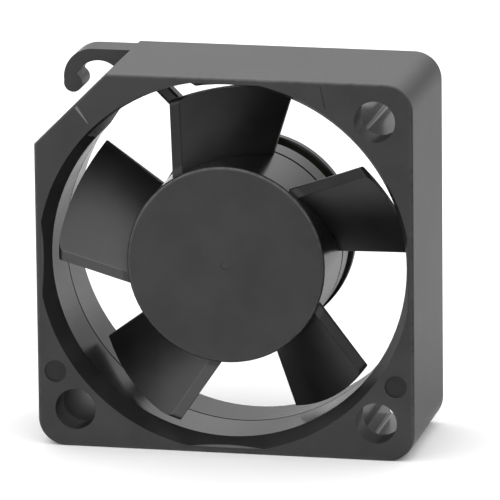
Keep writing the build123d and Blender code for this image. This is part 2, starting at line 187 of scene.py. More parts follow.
class Signal:
    """A socket of a node tree, so that sums on it are written as Python expressions."""

    def __init__(self, shading, socket):
        self.shading = shading
        self.socket = socket

    def math(self, operation, *values):
        return self.shading.node("ShaderNodeMath", {"operation": operation}, *values)

    def __add__(self, other):
        return self.math("ADD", self, other)

    def __radd__(self, other):
        return self.math("ADD", other, self)

    def __sub__(self, other):
        return self.math("SUBTRACT", self, other)

    def __rsub__(self, other):
        return self.math("SUBTRACT", other, self)

    def __mul__(self, other):
        return self.math("MULTIPLY", self, other)

    def __rmul__(self, other):
        return self.math("MULTIPLY", other, self)

    def __truediv__(self, other):
        return self.math("DIVIDE", self, other)

    def __pow__(self, other):
        return self.math("POWER", self, other)

    def __abs__(self):
        return self.math("ABSOLUTE", self)

    def sine(self):
        return self.math("SINE", self)

    def smaller(self, other):
        return self.math("MINIMUM", self, other)

    def larger(self, other):
        return self.math("MAXIMUM", self, other)

    def clamped(self):
        return self.shading.node("ShaderNodeClamp", {}, self)

    def between(self, low, high):
        """0 below the first value, 1 above the second, and smooth from one to the other."""
        settings = {"interpolation_type": "SMOOTHSTEP"}
        return self.shading.node("ShaderNodeMapRange", settings, self, low, high, 0.0, 1.0)

    def near(self, place, width):
        """1 at a value, falling to 0 at this distance on both sides of it."""
        return 1 - abs(self - place).between(0.0, width)


class Shading:
    """A node tree, and the one way in which nodes are added to it."""

    def __init__(self, tree):
        self.tree = tree

    def node(self, kind, settings, *values, output=0, named=None):
        """Adds one node: its settings first, then the values or links of its sockets."""
        made = self.tree.nodes.new(kind)
        for setting, value in settings.items():
            setattr(made, setting, value)
        pairs = list(enumerate(values)) + list((named or {}).items())
        for key, value in pairs:
            socket = made.inputs[key]
            if isinstance(value, Signal):
                self.tree.links.new(value.socket, socket)
            elif value is not None:
                socket.default_value = value
        return Signal(self, made.outputs[output])


class Finish(Shading):
    """A procedural material around one Principled shader."""

    def __init__(self, name, constants):
        self.material = bpy.data.materials.new(name)
        self.material.use_nodes = True
        super().__init__(self.material.node_tree)
        self.shader = self.tree.nodes["Principled BSDF"]
        for socket, value in constants.items():
            self.shader.inputs[socket].default_value = value

    def place(self):
        """The place on the piece, in metres."""
        return self.node("ShaderNodeTexCoord", {}, output="Object")

    def scaled(self, vector, factors):
        """A vector with each of its parts times its own factor."""
        return self.node("ShaderNodeVectorMath", {"operation": "MULTIPLY"}, vector, factors)

    def along(self, axis):
        """Millimetres along one axis of the fan."""
        return self.node("ShaderNodeSeparateXYZ", {}, self.place(), output=axis) / MM

    def radius(self):
        """Millimetres from the shaft's axis."""
        flat = self.scaled(self.place(), (1.0, 0.0, 1.0))
        return self.node("ShaderNodeVectorMath", {"operation": "LENGTH"}, flat, output="Value") / MM

    def noise(self, size, detail=3.0, roughness=0.5, stretch=(1.0, 1.0, 1.0), shift=0.0):
        """Cloudy noise with marks about this many millimetres across."""
        vector = self.scaled(self.place(), stretch)
        named = {"Scale": 1 / (size * MM), "Detail": detail, "Roughness": roughness, "W": shift}
        settings = {"noise_dimensions": "4D"}
        return self.node("ShaderNodeTexNoise", settings, vector, named=named)

    def cells(self, size):
        """Distance to the nearest of many scattered points, 1 where it is one grain size."""
        return self.node("ShaderNodeTexVoronoi", {}, self.place(), named={"Scale": 1 / (size * MM)})

    def tint(self, factor, first, second):
        """The first colour where the factor is 0, and the second where it is 1."""
        settings = {"data_type": "RGBA"}
        return self.node("ShaderNodeMix", settings, output=2, named={0: factor, 6: first, 7: second})

    def bump(self, height, depth, strength=1.0):
        """A normal from a height of 0 to 1, this many millimetres deep."""
        named = {"Strength": strength, "Distance": depth * MM, "Height": height}
        return self.node("ShaderNodeBump", {}, named=named)

    def feed(self, **signals):
        """Links what changes over the surface to the shader."""
        sockets = {
            "colour": "Base Color",
            "roughness": "Roughness",
            "metallic": "Metallic",
            "coat": "Coat Weight",
            "normal": "Normal",
        }
        for name, signal in signals.items():
            self.tree.links.new(signal.socket, self.shader.inputs[sockets[name]])
        return self.material


def opaque(colour, factor=1.0):
    """A colour times a factor, with the fourth channel that colour sockets take."""
    return (*[channel * factor for channel in colour], 1.0)


def dress(material, *nodes):
    """Gives CAD nodes a finish in place of the plain one they are packed with."""
    for name in nodes:
        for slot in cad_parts[name].material_slots:
            slot.material = material


# Sizes and colours

class FinishSettings(bpy.types.PropertyGroup):
    plastic_colour: FloatVectorProperty(
        name="Moulding colour", description="Base colour of the frame and the impeller",
        subtype="COLOR", size=3, min=0.0, max=1.0, default=(0.010, 0.010, 0.0102),
    )
    plastic_roughness: FloatProperty(
        name="Moulding roughness", description="How matt the mouldings are",
        subtype="FACTOR", min=0.0, max=1.0, default=0.36,
    )
    polish: FloatProperty(
        name="Polished roughness", description="Roughness where the mould's core was polished",
        subtype="FACTOR", min=0.0, max=1.0, default=0.24,
    )
    # The pale colour is the real scuff's, and also the painted light in the right-hand pockets and on
    # two blades' front edges
    scuff_and_painted_light_colour: FloatVectorProperty(
        name="Pale colour", description="Colour of the scuff, and inside the right-hand pockets",
        subtype="COLOR", size=3, min=0.0, max=1.0, default=(0.11, 0.11, 0.109),
    )
    # Painted light: the left-hand pocket is painted a paler grey than the plastic
    pocket_painted_light_colour: FloatVectorProperty(
        name="Matt colour", description="Colour inside the left-hand pocket",
        subtype="COLOR", size=3, min=0.0, max=1.0, default=(0.06, 0.06, 0.059),
    )
    # On the parting line the dulling is painted shade
    dulling: FloatProperty(
        name="Dulling", description="How much less the marks and the edges reflect",
        subtype="FACTOR", min=0.0, max=1.0, default=0.42,
    )
    grain: FloatProperty(
        name="Mould grain", description="Size of the spark-eroded grain in millimetres",
        min=0.01, max=1.0, default=0.07,
    )
    brass_colour: FloatVectorProperty(
        name="Brass colour", description="Base colour of the bearing tube and the hub insert",
        subtype="COLOR", size=3, min=0.0, max=1.0, default=(0.72, 0.50, 0.20),
    )
    bronze_colour: FloatVectorProperty(
        name="Bronze colour", description="Base colour of the sintered bearing",
        subtype="COLOR", size=3, min=0.0, max=1.0, default=(0.42, 0.24, 0.11),
    )
    steel_colour: FloatVectorProperty(
        name="Steel colour", description="Base colour of the shaft, the yoke and the plates",
        subtype="COLOR", size=3, min=0.0, max=1.0, default=(0.56, 0.56, 0.55),
    )
    copper_colour: FloatVectorProperty(
        name="Wire colour", description="Base colour of the lacquered copper wire",
        subtype="COLOR", size=3, min=0.0, max=1.0, default=(0.62, 0.20, 0.07),
    )
    board_colour: FloatVectorProperty(
        name="Board colour", description="Base colour of the board's solder mask",
        subtype="COLOR", size=3, min=0.0, max=1.0, default=(0.012, 0.075, 0.025),
    )


class SolderSettings(bpy.types.PropertyGroup):
    pin: FloatProperty(
        name="Pin", description="Radius of the terminal pins",
        subtype="DISTANCE", unit="LENGTH", min=0.00005, max=0.001, default=0.0002,
    )
    flare: FloatProperty(
        name="Flare", description="How far the solder spreads from the pin on the board",
        subtype="DISTANCE", unit="LENGTH", min=0.00005, max=0.001, default=0.00022,
    )
    rise: FloatProperty(
        name="Rise", description="How far the solder climbs up the pin",
        subtype="DISTANCE", unit="LENGTH", min=0.00005, max=0.001, default=0.0003,
    )
    rings: IntProperty(
        name="Rings", description="Rings of faces on each fillet of solder",
        min=2, max=20, default=7,
    )


class WindingSettings(bpy.types.PropertyGroup):
    wire: FloatProperty(
        name="Wire", description="Outside diameter of the lacquered wire",
        subtype="DISTANCE", unit="LENGTH", min=0.00002, max=0.001, default=0.0001,
    )
    layers: IntProperty(
        name="Layers", description="Layers of wire on each pole",
        min=1, max=20, default=5,
    )
    sides: IntProperty(
        name="Wire sides", description="Flat sides on each turn of the wire",
        min=4, max=16, default=6,
    )
    corner: FloatProperty(
        name="Corner", description="Radius of the winding's outer corners",
        subtype="DISTANCE", unit="LENGTH", min=0.0001, max=0.001, default=0.0003,
    )


class StudioSettings(bpy.types.PropertyGroup):
    horizon: FloatProperty(
        name="Walls", description="Brightness of the studio's walls",
        min=0.0, max=10.0, default=1.0,
    )
    zenith: FloatProperty(
        name="Ceiling", description="Brightness of the soft light overhead",
        min=0.0, max=10.0, default=2.2,
    )
    side: FloatProperty(
        name="Left wall", description="How much brighter the left wall is than the right one",
        min=0.0, max=1.0, default=0.3,
    )
    rear: FloatProperty(
        name="Rear wall", description="How much of its light the wall behind the fan loses",
        min=0.0, max=1.0, default=0.6,
    )
    floor_tone: FloatProperty(
        name="Floor tone", description="How pale the floor is",
        subtype="FACTOR", min=0.0, max=1.0, default=0.72,
    )
    floor_glow: FloatProperty(
        name="Floor in reflections", description="How pale the floor looks in the fan's surfaces",
        subtype="FACTOR", min=0.0, max=1.0, default=0.36,
    )
    floor_width: FloatProperty(
        name="Floor", description="Width of the pale floor",
        subtype="DISTANCE", unit="LENGTH", min=0.1, max=20.0, default=6.0,
    )
    camera_place: FloatVectorProperty(
        name="Camera place", description="Where the camera stands",
        subtype="TRANSLATION", unit="LENGTH", size=3, default=(0.101665, -0.457003, 0.118712),
    )
    camera_turn: FloatProperty(
        name="Camera turn", description="Turn of the camera to the left",
        subtype="ANGLE", unit="ROTATION", default=math.radians(12.463),
    )
    camera_dip: FloatProperty(
        name="Camera dip", description="How far below the horizon the camera looks",
        subtype="ANGLE", unit="ROTATION", default=math.radians(14.243),
    )
    camera_roll: FloatProperty(
        name="Camera roll", description="Roll of the camera about its view",
        subtype="ANGLE", unit="ROTATION", default=math.radians(-0.623),
    )
    lens: FloatProperty(
        name="Lens", description="Focal length in millimetres on a 36 mm sensor",
        min=10.0, max=1000.0, default=533.2,
    )


# Finishes

def moulded_plastic(
    name, settings, wear=None, polished=None, marks=None, dull=None, matt=None, coarse=0.0
):
    """Black moulded plastic: spark-eroded grain, flow clouds, a little dust and polished wear.

    The grain is missing where the mould was polished, and the surface is glossy there."""
    finish = Finish(name, {"IOR": 1.55, "Specular IOR Level": 0.5})
    clouds = finish.noise(3.2, detail=4.0, roughness=0.6, stretch=(1.0, 0.6, 1.0))
    streaks = finish.noise(0.9, detail=3.0, stretch=(1.0, 0.25, 1.0), shift=4.0)
    grain = finish.noise(settings.grain, detail=2.0, roughness=0.6, shift=1.0)
    dusty = finish.noise(2.4, shift=7.0).between(0.5, 0.7)
    specks = (1 - finish.cells(0.55).between(0.05, 0.12)) * dusty
    plastic = settings.plastic_colour
    colour = finish.tint(clouds.between(0.3, 0.7), opaque(plastic, 0.6), opaque(plastic, 1.4))
    colour = finish.tint(streaks.between(0.45, 0.8) * 0.25, colour, opaque(plastic, 1.6))
    colour = finish.tint(specks * 0.2, colour, opaque(DUST))
    gloss = polished(finish) if polished is not None else 0.0
    satin = settings.plastic_roughness + (clouds - 0.5) * 0.1 + (grain - 0.5) * 0.12 + coarse
    shine = settings.polish + (streaks - 0.5) * 0.08 + (clouds - 0.5) * 0.04
    roughness = satin + (shine - satin) * gloss
    if wear is not None:
        rubbed = wear(finish) * finish.noise(0.4, detail=3.0, shift=2.0).between(0.3, 0.6)
        colour = finish.tint(rubbed * 0.35, colour, opaque(RUBBED))
        roughness = roughness - rubbed * 0.1
    # The matt mask makes the surface rougher, and paints light there with a paler colour
    if matt is not None:
        matt_and_painted_light = matt(finish)
        colour = finish.tint(matt_and_painted_light, colour, opaque(settings.pocket_painted_light_colour))
        roughness = roughness + matt_and_painted_light * 0.45
    # Marks take the pale colour: a real scuff, or painted light in pockets and on blade edges
    if marks is not None:
        colour = finish.tint(marks(finish), colour, opaque(settings.scuff_and_painted_light_colour))
    normal = finish.bump(grain * 0.7 * (1 - 0.9 * gloss) + clouds * 0.3, depth=0.008, strength=0.35)
    made = finish.feed(colour=colour, roughness=roughness.clamped(), normal=normal)
    if dull is not None:
        finish.feed(metallic=dull(finish) * settings.dulling)
    return made


# Masks on the frame: 1 where a finish applies and 0 elsewhere

def pockets(finish):
    """The cored pockets behind the screw holes, inside the rounded wall of their corners."""
    sides = [abs(finish.along("X")), abs(finish.along("Z"))]
    past = [(side - CORNER_PLACE).larger(0.0) for side in sides]
    reach = (past[0] * past[0] + past[1] * past[1]) ** 0.5
    outline = sides[0].smaller(sides[1]).between(*POCKET_SIDES) * (1 - reach.between(*CORNER_ROUND))
    depth = finish.along("Y").between(*POCKET_FRONT) * (1 - finish.along("Y").between(*POCKET_BACK))
    return outline * finish.radius().between(*POCKET_WALL) * depth


def right_pockets(finish):
    """The two right-hand pockets: smoother than the left-hand one, and paler with painted light."""
    return pockets(finish) * finish.along("X").between(*MIDDLE)


def left_pocket(finish):
    """The lower left pocket: matt, and darker than the right-hand ones, with painted light paler than
    the plastic. The upper left corner is cut off and has none.
    """
    left = 1 - finish.along("X").between(*MIDDLE)
    return pockets(finish) * left * (1 - finish.along("Z").between(*MIDDLE))


def housing_polish(finish):
    """The duct's wall, which a polished core forms, less so its mouth, and the right-hand pockets."""
    radius = finish.radius()
    inside = finish.along("Y").between(*BEHIND_FACE)
    throat = finish.along("Y").between(*THROAT_FRONT)
    duct = radius.between(*DUCT_WALL) * (1 - radius.between(*DUCT_OUTSIDE))
    polished = MOUTH_POLISH + (1 - MOUTH_POLISH) * throat
    return (duct * polished * inside + right_pockets(finish)).clamped()


def housing_wear(finish):
    """The front and rear rims, which rub on whatever the fan is packed against."""
    outside = abs(finish.along("X")).larger(abs(finish.along("Z")))
    return abs(finish.along("Y")).near(RIM_PLACE, RIM_WIDTH) * outside.between(*RIM_OUTSIDE)


def parting_line(finish):
    """The dull line in the duct where the two cores of the mould met: its dulling is painted shade."""
    radius = finish.radius()
    duct = radius.between(*DUCT_WALL) * (1 - radius.between(*PARTING_OUTSIDE))
    return finish.along("Y").near(PARTING_PLACE, PARTING_WIDTH) * duct


def ejector_marks(finish):
    """The two round marks of the mould's ejector pins, which are smoother and darker."""
    away = []
    for side in (-1, 1):
        right = finish.along("X") - side * EJECTOR_SIDE
        up = finish.along("Z") - EJECTOR_HEIGHT
        away.append((right * right + up * up) ** 0.5)
    recess = finish.along("Y").between(*BEHIND_FACE) * (1 - finish.along("Y").between(*EJECTOR_BACK))
    return (1 - away[0].smaller(away[1]).between(*EJECTOR_ROUND)) * recess


def housing_dull(finish):
    """What reflects less than the rest: the ejector marks, and the parting line as painted shade."""
    return (ejector_marks(finish) + parting_line(finish)).clamped()


def scuff(finish):
    """The pale scuff on the front face at the upper left of the mouth, which tapers to its lower end."""
    turn = math.atan2(SCUFF_END[1] - SCUFF_START[1], SCUFF_END[0] - SCUFF_START[0])
    right = finish.along("X") - SCUFF_START[0]
    up = finish.along("Z") - SCUFF_START[1]
    along = right * math.cos(turn) + up * math.sin(turn)
    away = up * math.cos(turn) - right * math.sin(turn)
    front = 1 - finish.along("Y").between(*SCUFF_FRONT)
    share = along / math.dist(SCUFF_START, SCUFF_END)
    width = SCUFF_WIDTH * (SCUFF_TAPER - share)
    fade = along.between(*SCUFF_STARTS) * (1 - share.between(*SCUFF_ENDS))
    return (1 - abs(away).between(width * SCUFF_CORE, width)) * fade * front


def scuff_and_painted_pocket_light(finish):
    """What is paler than the rest: the scuff, and the painted light in the right-hand pockets."""
    return (scuff(finish) + right_pockets(finish)).clamped()


# Masks on the impeller

def hub_polish(finish):
    """The side of the hub, between the blades."""
    side = finish.radius().between(*HUB_SIDE) * (1 - finish.radius().between(*HUB_OUTSIDE))
    return side * finish.along("Y").between(*HUB_SIDE_FRONT)


def hub_wear(finish):
    """The rim of the hub's face, and the gate's mark in its middle."""
    depth = finish.along("Y")
    rim = finish.radius().near(HUB_RIM_PLACE, HUB_RIM_WIDTH) * (1 - depth.between(*HUB_RIM_BACK))
    gate = 1 - finish.radius().between(*GATE_ROUND)
    return rim + gate * (1 - depth.between(*GATE_BACK))


def blade_edges(finish):
    """The thin front edges of the blades."""
    return finish.radius().between(*BLADE_ROOT) * (1 - finish.along("Y").between(*BLADE_FRONT))


def lower_left(finish):
    """The lower left side, where the front edges of two blades are painted paler as painted light."""
    across = finish.along("X") * LOWER_LEFT[0] + finish.along("Z") * LOWER_LEFT[1]
    return (across / finish.radius()).between(*LOWER_LEFT_SHARE)


def dull_edges(finish):
    """The front edges of the other three blades, which catch less light than the hub's face."""
    return blade_edges(finish) * (1 - lower_left(finish))


def painted_light_edges(finish):
    """The front edges of the two blades at the lower left, painted a little paler as painted light."""
    return blade_edges(finish) * lower_left(finish) * EDGE_PAINTED_LIGHT


# Finishes of the other pieces

def turned_metal(name, colour, roughness, pitch):
    """Metal with the fine rings that a lathe or a grinding wheel leaves, this far apart."""
    finish = Finish(name, {"Metallic": 1.0, "Roughness": roughness})
    wave = finish.along("Y") * (math.tau / pitch) + finish.noise(0.5) * 3.0
    rings = wave.sine() * 0.5 + 0.5
    stain = finish.noise(1.4, detail=5.0, roughness=0.65, shift=3.0)
    tone = finish.tint(stain.between(0.35, 0.7), opaque(colour, 0.82), opaque(colour, 1.0))
    gloss = roughness + (stain - 0.5) * 0.25 + rings * 0.05
    normal = finish.bump(rings, depth=0.002, strength=0.3)
    return finish.feed(colour=tone, roughness=gloss.clamped(), normal=normal)


def pressed_steel(name, colour, roughness):
    """Stamped and plated sheet: a mottled coat with faint rolling lines."""
    finish = Finish(name, {"Metallic": 1.0, "Roughness": roughness})
    mottle = finish.cells(0.35)
    lines = finish.noise(0.25, detail=3.0, stretch=(0.15, 1.0, 1.0), shift=5.0)
    bloom = finish.noise(1.8, detail=4.0, shift=6.0)
    tone = finish.tint(bloom.between(0.3, 0.7), opaque(colour, 0.72), opaque(colour, 1.05))
    gloss = roughness + (mottle - 0.4) * 0.12 + (lines - 0.5) * 0.15
    normal = finish.bump(lines, depth=0.003, strength=0.25)
    return finish.feed(colour=tone, roughness=gloss.clamped(), normal=normal)


def sintered_bronze(name, colour):
    """Pressed powder: closely pitted, dark with oil in the pits."""
    finish = Finish(name, {"Metallic": 1.0})
    pits = finish.cells(0.09).between(0.1, 0.55)
    oil = finish.noise(0.8, detail=4.0, shift=8.0)
    tone = finish.tint(pits, opaque(colour, 0.35), opaque(colour))
    tone = finish.tint(oil.between(0.45, 0.75) * 0.5, tone, opaque(colour, 0.5))
    normal = finish.bump(pits, depth=0.006, strength=0.6)
    return finish.feed(colour=tone, roughness=0.45 - oil * 0.2, normal=normal)


def bonded_magnet(name):
    """Bonded ferrite: dark grey, dull, with tiny bright grains."""
    finish = Finish(name, {})
    grains = 1 - finish.cells(0.08).between(0.05, 0.2)
    cloud = finish.noise(1.2, detail=4.0)
    tone = finish.tint(cloud.between(0.3, 0.7), opaque(FERRITE_DARK), opaque(FERRITE_PALE))
    tone = finish.tint(grains * 0.35, tone, opaque(FERRITE_GRAIN))
    normal = finish.bump(cloud, depth=0.006, strength=0.4)
    return finish.feed(colour=tone, roughness=0.72 - grains * 0.25, normal=normal)


def pale_plastic(name, colour, roughness):
    """Natural nylon and bobbin plastic: slightly cloudy, with soft flow marks."""
    finish = Finish(name, {"Subsurface Weight": 0.15, "Subsurface Scale": 0.0004})
    cloud = finish.noise(0.9, detail=4.0, shift=9.0)
    grain = finish.noise(0.06, detail=2.0)
    tone = finish.tint(cloud.between(0.3, 0.75), opaque(colour, 0.88), opaque(colour))
    gloss = roughness + (cloud - 0.5) * 0.12
    normal = finish.bump(grain, depth=0.004, strength=0.3)
    return finish.feed(colour=tone, roughness=gloss, normal=normal)


def lacquered_wire(name, colour):
    """Copper under clear lacquer, a little darker where it was heated."""
    finish = Finish(name, {"Metallic": 1.0, "Coat Roughness": 0.12})
    heat = finish.noise(0.7, detail=4.0, shift=11.0)
    tone = finish.tint(heat.between(0.35, 0.7), opaque(colour, 0.7), opaque(colour, 1.15))
    return finish.feed(colour=tone, roughness=0.22 + heat * 0.16, coat=0.6 + heat * 0.4)


def solder_mask(name, colour):
    """Green solder mask over copper tracks, bare laminate at the edges."""
    finish = Finish(name, {"Coat Roughness": 0.15})
    up = finish.along("Z")
    angle = up.math("ARCTAN2", up, finish.along("X"))
    radius = finish.radius()
    swing = (angle * TRACK_WAVES).sine() * TRACK_SWING
    tracks = (radius * TRACK_DENSITY + swing).sine().between(0.25, 0.45)
    pour = (angle * POUR_COUNT + POUR_TURN).sine().between(-0.3, -0.2)
    copper = (tracks * pour).clamped()
    edge = radius.between(*BOARD_EDGE)
    weave = finish.noise(0.12, detail=2.0)
    tone = finish.tint(copper, opaque(colour, 0.8), opaque(colour, 1.7))
    tone = finish.tint(edge, tone, opaque(LAMINATE))
    gloss = 0.28 + weave * 0.12 + edge * 0.3
    normal = finish.bump(copper * 0.8 + weave * 0.2, depth=0.02, strength=0.5)
    return finish.feed(colour=tone, roughness=gloss, coat=0.5 - edge * 0.5, normal=normal)


def chip_body(name):
    """Moulded epoxy with tinned feet where it meets the board."""
    finish = Finish(name, {})
    grain = finish.noise(0.05, detail=3.0)
    foot = finish.along("Y").between(*CHIP_FEET)
    tone = finish.tint(grain, opaque(EPOXY_DARK), opaque(EPOXY_PALE))
    tone = finish.tint(foot, tone, opaque(TINNED_FEET))
    gloss = 0.55 - foot * 0.25 + (grain - 0.5) * 0.15
    normal = finish.bump(grain, depth=0.004, strength=0.4)
    return finish.feed(colour=tone, roughness=gloss, metallic=foot, normal=normal)


def end_capped(name, body, turn):
    """A two-ended component: its ceramic or film body between tinned end caps, turned by an angle."""
    finish = Finish(name, {})
    across = finish.along("X") * math.cos(turn) + finish.along("Z") * math.sin(turn)
    cap = abs(across).between(*END_CAPS)
    fired = finish.noise(0.2, detail=3.0)
    tone = finish.tint(fired, opaque(body, 0.85), opaque(body, 1.1))
    tone = finish.tint(cap, tone, opaque(TINNED))
    gloss = 0.5 - cap * 0.2 + (fired - 0.5) * 0.15
    normal = finish.bump(fired, depth=0.004, strength=0.4)
    return finish.feed(colour=tone, roughness=gloss, metallic=cap, normal=normal)


# Surround and floor

def soft_surround(name, settings):
    """A white studio: a soft light overhead, a brighter left wall and a dim wall behind the fan.

    The camera sees it as plain white."""
    world = bpy.data.worlds.new(name)
    world.use_nodes = True
    shading = Shading(world.node_tree)
    glow = shading.tree.nodes["Background"]
    glow.inputs["Color"].default_value = opaque(WHITE)
    direction = shading.node("ShaderNodeTexCoord", {}, output="Generated")
    across = shading.node("ShaderNodeSeparateXYZ", {}, direction, output="X")
    depth = shading.node("ShaderNodeSeparateXYZ", {}, direction, output="Y")
    height = shading.node("ShaderNodeSeparateXYZ", {}, direction, output="Z")
    ceiling = height.between(*CEILING)
    light = settings.horizon + (settings.zenith - settings.horizon) * ceiling
    light = light * (1 - settings.side * across * (1 - ceiling))
    rear = depth.between(*REAR_WALL) * (1 - height.between(*REAR_WALL_TOP))
    light = light * (1 - settings.rear * rear)
    seen = shading.node("ShaderNodeLightPath", {}, output="Is Camera Ray")
    strength = light + (1 - light) * seen
    shading.tree.links.new(strength.socket, glow.inputs["Strength"])
    return world


def pale_floor(name, settings):
    """A plain pale floor. In the fan's surfaces it is dimmer, most of all in front at the right, with
    painted pools of light and a painted shadow of the fan.
    """
    finish = Finish(name, {"Roughness": 0.9, "Specular IOR Level": 0.1})
    right = finish.along("X")
    back = finish.along("Y")
    left = 1 - right.between(*FLOOR_LEFT)
    behind = back.between(*FLOOR_BEHIND)
    away = (right - FLOOR_SPOT[0]) ** 2 + (back - FLOOR_SPOT[1]) ** 2
    close = 1 - away.between(*FLOOR_SPOT_SQUARED)
    # Painted shadow of the fan on the floor behind it, seen only in the fan's surfaces
    beside = abs(right - SHADE_PLACE).between(*SHADE_SIDES)
    shade = (1 - beside) * back.between(*SHADE_FRONT)
    light = GLOW_ANYWHERE + left * GLOW_LEFT + behind * GLOW_BEHIND + close * GLOW_SPOT
    glow = settings.floor_glow * light * (1 - shade * GLOW_SHADED)
    seen = finish.node("ShaderNodeLightPath", {}, output="Is Camera Ray")
    pale = settings.floor_tone * (0.98 + finish.noise(40.0) * 0.02)
    share = glow + (pale - glow) * seen
    return finish.feed(colour=finish.tint(share, opaque(WHITE, 0.0), opaque(WHITE)))


# Pieces

def piece(name, mesh, body, material):
    """Links a finished mesh as a piece that rides on a CAD body."""
    made = bpy.data.objects.new(name, mesh)
    bpy.context.scene.collection.objects.link(made)
    made.data.materials.append(material)
    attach(made, body)
    return made


def rounded_loop(name, half_height, half_width, corner):
    """A closed curve round a pole: a rectangle with rounded corners, across the X axis."""
    outline = bmesh.new()
    bmesh.ops.create_grid(outline, x_segments=1, y_segments=1, size=1.0)
    bmesh.ops.scale(outline, vec=(half_height, half_width, 1.0), verts=outline.verts)
    bmesh.ops.bevel(
        outline, geom=outline.verts[:], offset=corner, affect="VERTICES", segments=CORNER_SEGMENTS,
        profile=0.5, material=-1,
    )
    outline.faces.ensure_lookup_table()
    corners = [Vector((0.0, loop.vert.co.x, loop.vert.co.y)) for loop in outline.faces[0].loops]
    outline.free()
    curve = bpy.data.curves.new(name, "CURVE")
    curve.dimensions = "3D"
    spline = curve.splines.new("POLY")
    spline.points.add(len(corners) - 1)
    for point, place in zip(spline.points, corners):
        point.co = (*place, 1.0)
    spline.use_cyclic_u = True
    return curve


def swept(curve, radius, sides):
    """The mesh of a round wire laid along a curve. It has four sides, and two more for each step."""
    curve.bevel_depth = radius
    curve.bevel_resolution = max(0, (sides - 4) // 2)
    holder = bpy.data.objects.new(curve.name, curve)
    bpy.context.scene.collection.objects.link(holder)
    view = bpy.context.evaluated_depsgraph_get()
    mesh = bpy.data.meshes.new_from_object(holder.evaluated_get(view))
    bpy.data.objects.remove(holder)
    bpy.data.curves.remove(curve)
    return mesh


def winding_mesh(name, low, high, settings):
    """Every turn of wire on the pole along +X, layer on layer."""
    radius = settings.wire / 2
    middle = (low.y + high.y) / 2
    count = int((high.x - low.x) / settings.wire + TURN_ROUNDING)
    shape = bmesh.new()
    for layer in range(settings.layers):
        inset = radius + layer * settings.wire
        half_height = (high.y - low.y) / 2 - inset
        half_width = (high.z - low.z) / 2 - inset
        corner = max(settings.corner - inset, radius)
        mesh = swept(rounded_loop(name, half_height, half_width, corner), radius, settings.sides)
        for turn in range(count):
            before = set(shape.verts)
            shape.from_mesh(mesh)
            added = [vert for vert in shape.verts if vert not in before]
            along = low.x + radius + turn * settings.wire
            bmesh.ops.translate(shape, vec=(along, middle, 0.0), verts=added)
        bpy.data.meshes.remove(mesh)
    bmesh.ops.recalc_face_normals(shape, faces=shape.faces)
    for face in shape.faces:
        face.smooth = True
    made = bpy.data.meshes.new(name)
    shape.to_mesh(made)
    shape.free()
    return made


def solder_mesh(name, place, settings):
    """A concave fillet of solder round a pin, standing on the board's front face."""
    shape = bmesh.new()
    outline = []
    for ring in range(settings.rings + 1):
        climb = ring / settings.rings
        radius = settings.pin + settings.flare * (1 - climb) ** SOLDER_HOLLOW
        outline.append(shape.verts.new((radius, -settings.rise * climb, 0.0)))
    outline.append(shape.verts.new((settings.pin, 0.0, 0.0)))
    edges = [shape.edges.new(pair) for pair in zip(outline, outline[1:] + outline[:1])]
    bmesh.ops.spin(
        shape, geom=outline + edges, cent=(0.0, 0.0, 0.0), axis=(0.0, 1.0, 0.0), angle=math.tau,
        steps=SOLDER_STEPS, use_merge=True,
    )
    bmesh.ops.translate(shape, vec=place, verts=shape.verts)
    bmesh.ops.recalc_face_normals(shape, faces=shape.faces)
    for face in shape.faces:
        face.smooth = True
    made = bpy.data.meshes.new(name)
    shape.to_mesh(made)
    shape.free()
    return made


# Steps of the add-on

class FAN_OT_housing(bpy.types.Operator):
    """Finishes the moulded frame and the end cap"""
    bl_idname = "fan.housing"
    bl_label = "Housing"

    def execute(self, context):
        settings = context.scene.fan_finish
        plastic = moulded_plastic(
            "housing_plastic", settings, wear=housing_wear, polished=housing_polish,
            marks=scuff_and_painted_pocket_light, dull=housing_dull, matt=left_pocket,
        )
        dress(plastic, "frame")
        dress(moulded_plastic("cap_plastic", settings, coarse=0.08), "end_cap")
        return {"FINISHED"}


class FAN_OT_impeller(bpy.types.Operator):
    """Finishes the moulded impeller"""
    bl_idname = "fan.impeller"
    bl_label = "Impeller"

    def execute(self, context):
        plastic = moulded_plastic(
            "impeller_plastic", context.scene.fan_finish, wear=hub_wear, polished=hub_polish,
            marks=painted_light_edges, dull=dull_edges,
        )
        dress(plastic, "impeller")
        return {"FINISHED"}


class FAN_OT_rotor(bpy.types.Operator):
    """Finishes the yoke, the magnet, the brass, the shaft and the nylon pieces"""
    bl_idname = "fan.rotor"
    bl_label = "Rotor"

    def execute(self, context):
        settings = context.scene.fan_finish
        dress(pressed_steel("plated_steel", settings.steel_colour, roughness=0.34), "rotor_yoke")
        dress(bonded_magnet("bonded_magnet"), "ring_magnet")
        brass = turned_metal("turned_brass", settings.brass_colour, roughness=0.28, pitch=0.08)
        dress(brass, "hub_insert", "bearing_tube")
        ground = turned_metal("ground_steel", settings.steel_colour, roughness=0.16, pitch=0.03)
        dress(ground, "shaft")
        nylon = pale_plastic("natural_nylon", NYLON, roughness=0.42)
        dress(nylon, "retaining_ring", "oil_seal", "thrust_plate")
        return {"FINISHED"}


class FAN_OT_stator(bpy.types.Operator):
    """Finishes the bearing, the plates, the bobbin and the pins"""
    bl_idname = "fan.stator"
    bl_label = "Stator"

    def execute(self, context):
        settings = context.scene.fan_finish
        plate_colour = [channel * PLATE_SHADE for channel in settings.steel_colour]
        dress(sintered_bronze("sintered_bronze", settings.bronze_colour), "sleeve_bearing")
        dress(pressed_steel("stamped_plates", plate_colour, roughness=0.42), "stator_core")
        bobbin = pale_plastic("bobbin_plastic", BOBBIN, roughness=0.38)
        dress(bobbin, "upper_insulator", "lower_insulator")
        dress(turned_metal("tinned_pins", TINNED, roughness=0.3, pitch=0.1), "terminal_pins")
        return {"FINISHED"}


